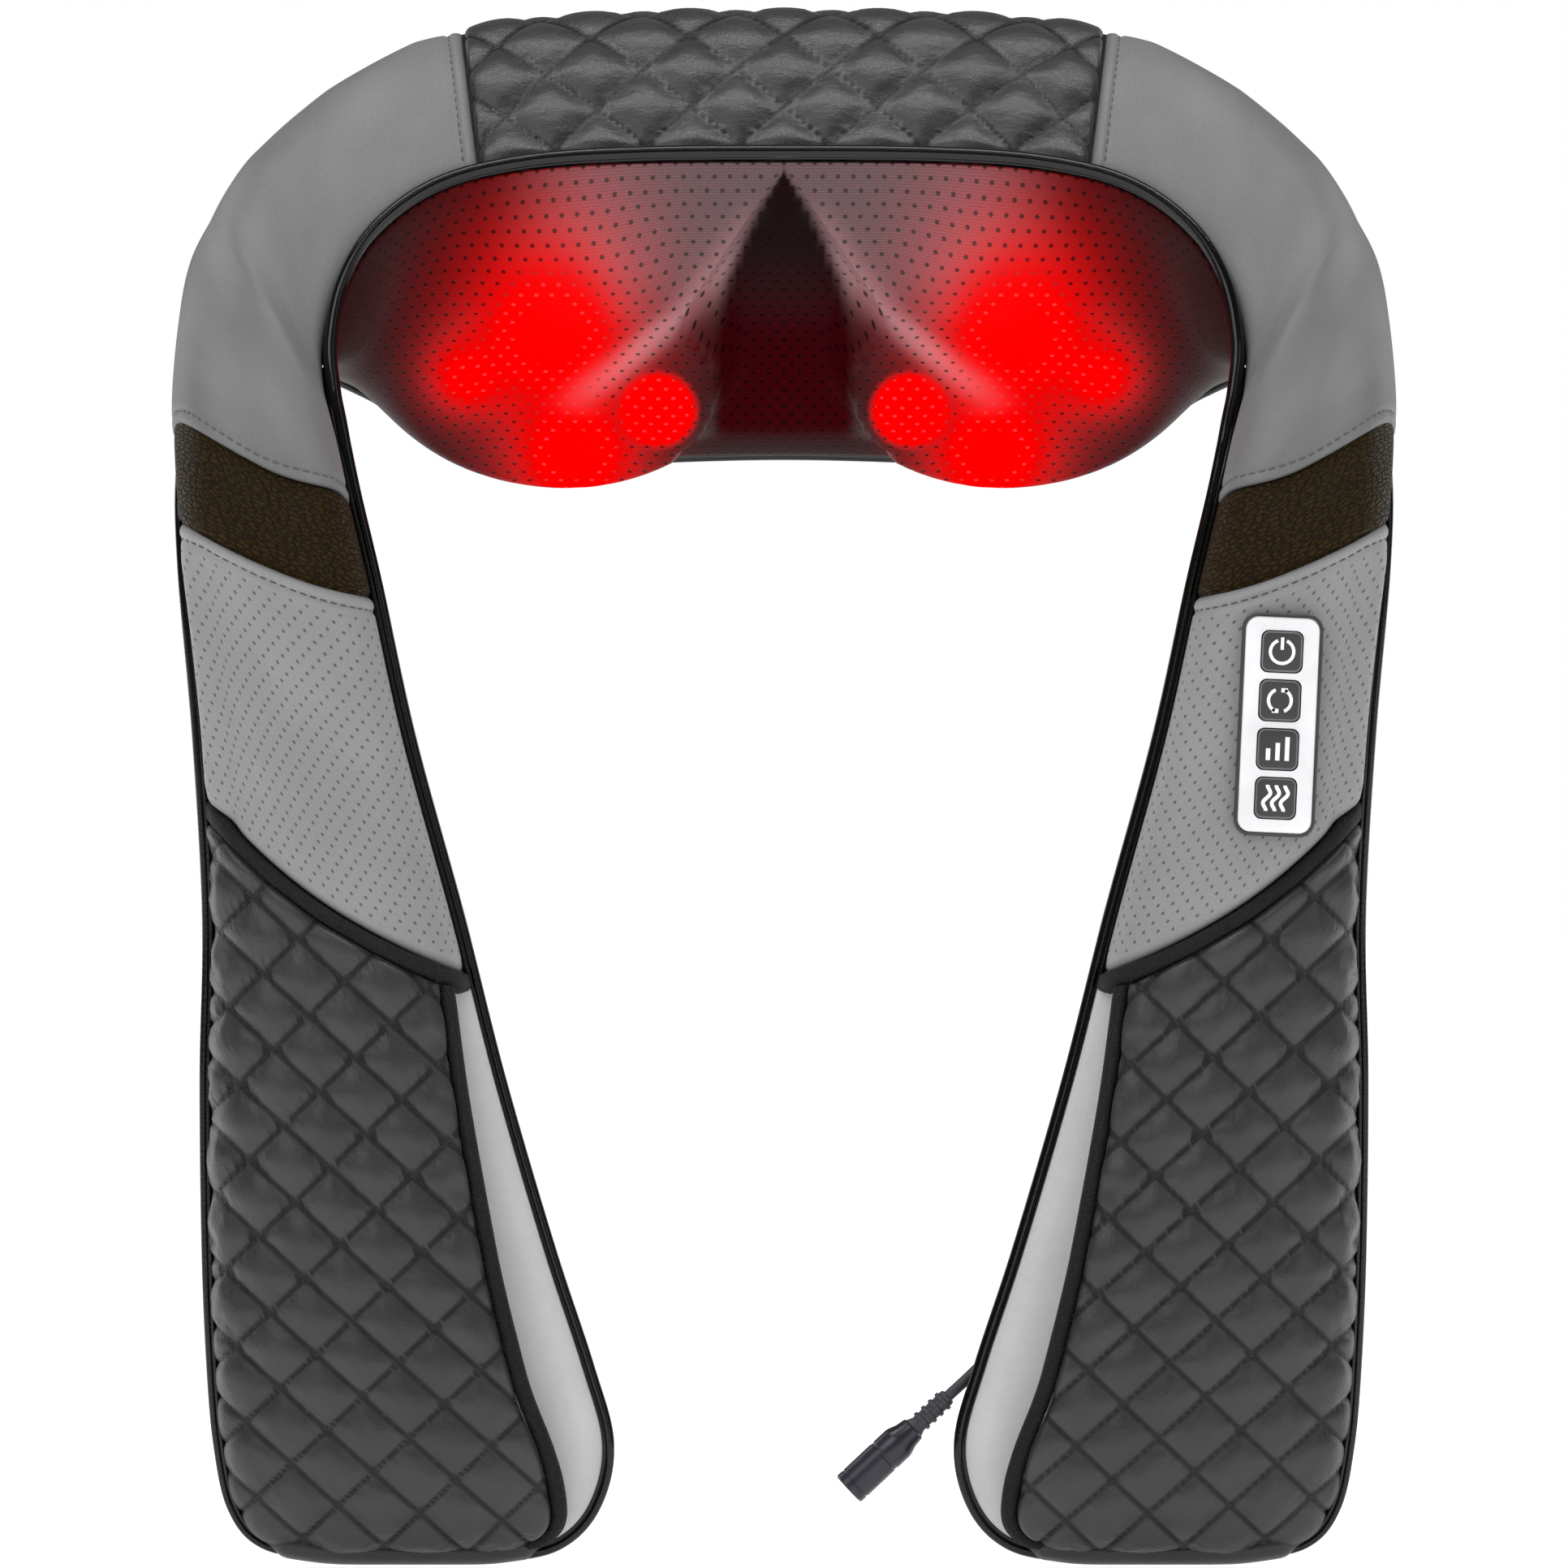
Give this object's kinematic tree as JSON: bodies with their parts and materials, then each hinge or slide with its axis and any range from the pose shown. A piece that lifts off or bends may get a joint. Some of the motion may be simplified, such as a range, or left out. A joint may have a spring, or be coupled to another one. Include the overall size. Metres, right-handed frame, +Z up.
{
  "type": "shiatsu neck massager",
  "caption": "Horseshoe-shaped padded neck and shoulder massager with rotating node heads under a mesh cover, hinged padded arms that end in hand pockets, a button panel and a power socket.",
  "frame": {"origin": "middle of the object's width and depth, level with the lower ends of the arms", "axes": "+Z up along the hanging arms, +X towards the arm that carries the control panel, -Y towards the front, which is the side that carries the panel and the pockets"},
  "size_m": [0.3772, 0.2036, 0.482],
  "materials": {
    "grey_leather": "satin",
    "perforated_leather": "matte",
    "brown_leather": "satin",
    "quilted_leather": "satin",
    "trim_leather": "satin",
    "lining_fabric": "matte",
    "mesh_fabric": "matte",
    "piping_vinyl": "gloss",
    "foam": "matte",
    "black_plastic": "matte",
    "grey_plastic": "matte",
    "white_plastic": "satin",
    "button_plastic": "matte",
    "red_lens": "gloss",
    "steel": "satin",
    "brass": "satin",
    "nylon": "satin",
    "circuit": "satin"
  },
  "bodies": {
    "collar": {"quilted_collar_panel": "quilted_leather", "collar_foam": "foam", "mesh_cover": "mesh_fabric", "inner_piping_collar": "piping_vinyl", "outer_piping_collar": "piping_vinyl", "shoulder_panel_left": "grey_leather", "shoulder_panel_right": "grey_leather", "drive_tray": "black_plastic", "drive_front_plate": "black_plastic", "motor_can": "steel", "motor_end_cap": "black_plastic", "lamp_board_left": "circuit", "lamp_board_right": "circuit", "shaft_bush_left": "brass", "shaft_bush_right": "brass"},
    "arm_left": {"accent_band_left": "brown_leather", "perforated_panel_left": "perforated_leather", "pocket_trim_left": "trim_leather", "hand_pocket_left": "quilted_leather", "pocket_binding_left": "trim_leather", "pocket_lining_left": "lining_fabric", "arm_foam_left": "foam", "arm_back_panel_left": "grey_leather", "inner_piping_left": "piping_vinyl", "outer_piping_left": "piping_vinyl"},
    "arm_right": {"accent_band_right": "brown_leather", "perforated_panel_right": "perforated_leather", "pocket_trim_right": "trim_leather", "hand_pocket_right": "quilted_leather", "pocket_binding_right": "trim_leather", "pocket_lining_right": "lining_fabric", "arm_foam_right": "foam", "arm_back_panel_right": "grey_leather", "inner_piping_right": "piping_vinyl", "outer_piping_right": "piping_vinyl", "control_rim": "trim_leather", "control_faceplate": "white_plastic", "control_housing": "black_plastic", "control_board": "circuit", "power_cable": "black_plastic", "cable_strain_relief": "black_plastic", "power_socket": "black_plastic"},
    "head_left": {"head_plate_left": "grey_plastic", "worm_wheel_left": "nylon", "big_node_upper_left": "red_lens", "big_node_lower_left": "red_lens", "small_node_inner_left": "red_lens", "small_node_outer_left": "red_lens"},
    "head_right": {"head_plate_right": "grey_plastic", "worm_wheel_right": "nylon", "big_node_upper_right": "red_lens", "big_node_lower_right": "red_lens", "small_node_inner_right": "red_lens", "small_node_outer_right": "red_lens"},
    "rotor": {"worm_shaft": "steel"},
    "power_button": {"button_power": "button_plastic"},
    "direction_button": {"button_direction": "button_plastic"},
    "speed_button": {"button_speed": "button_plastic"},
    "heat_button": {"button_heat": "button_plastic"}
  },
  "joints": [
    {"name": "arm_left_flex", "type": "hinge", "parent": "collar", "child": "arm_left", "pos_m": [-0.16, -0.0776, 0.3393], "axis": [0.9336, 0, -0.3584], "range_deg": [-35, 20]},
    {"name": "arm_right_flex", "type": "hinge", "parent": "collar", "child": "arm_right", "pos_m": [0.16, -0.0776, 0.3393], "axis": [0.9336, 0, 0.3584], "range_deg": [-35, 20]},
    {"name": "head_right_spin", "type": "hinge", "parent": "collar", "child": "head_right", "pos_m": [0.069, 0.02794, 0.38319], "axis": [0, 0.5979, 0.8016], "continuous": true},
    {"name": "head_left_spin", "type": "hinge", "parent": "collar", "child": "head_left", "pos_m": [-0.069, 0.02794, 0.38319], "axis": [0, 0.5979, 0.8016], "continuous": true},
    {"name": "worm_shaft_spin", "type": "hinge", "parent": "collar", "child": "rotor", "pos_m": [0, 0.01696, 0.41446], "axis": [1, 0, 0], "continuous": true},
    {"name": "power_press", "type": "slide", "parent": "arm_right", "child": "power_button", "axis": [0, 1, 0], "range_m": [0, 0.0008], "stiffness_N_per_m": 900},
    {"name": "direction_press", "type": "slide", "parent": "arm_right", "child": "direction_button", "axis": [0, 1, 0], "range_m": [0, 0.0008], "stiffness_N_per_m": 900},
    {"name": "speed_press", "type": "slide", "parent": "arm_right", "child": "speed_button", "axis": [0, 1, 0], "range_m": [0, 0.0008], "stiffness_N_per_m": 900},
    {"name": "heat_press", "type": "slide", "parent": "arm_right", "child": "heat_button", "axis": [0, 1, 0], "range_m": [0, 0.0008], "stiffness_N_per_m": 900}
  ],
  "couplings": [
    {"joint": "head_left_spin", "follows": "head_right_spin", "ratio": -1},
    {"joint": "worm_shaft_spin", "follows": "head_right_spin", "ratio": -36}
  ]
}
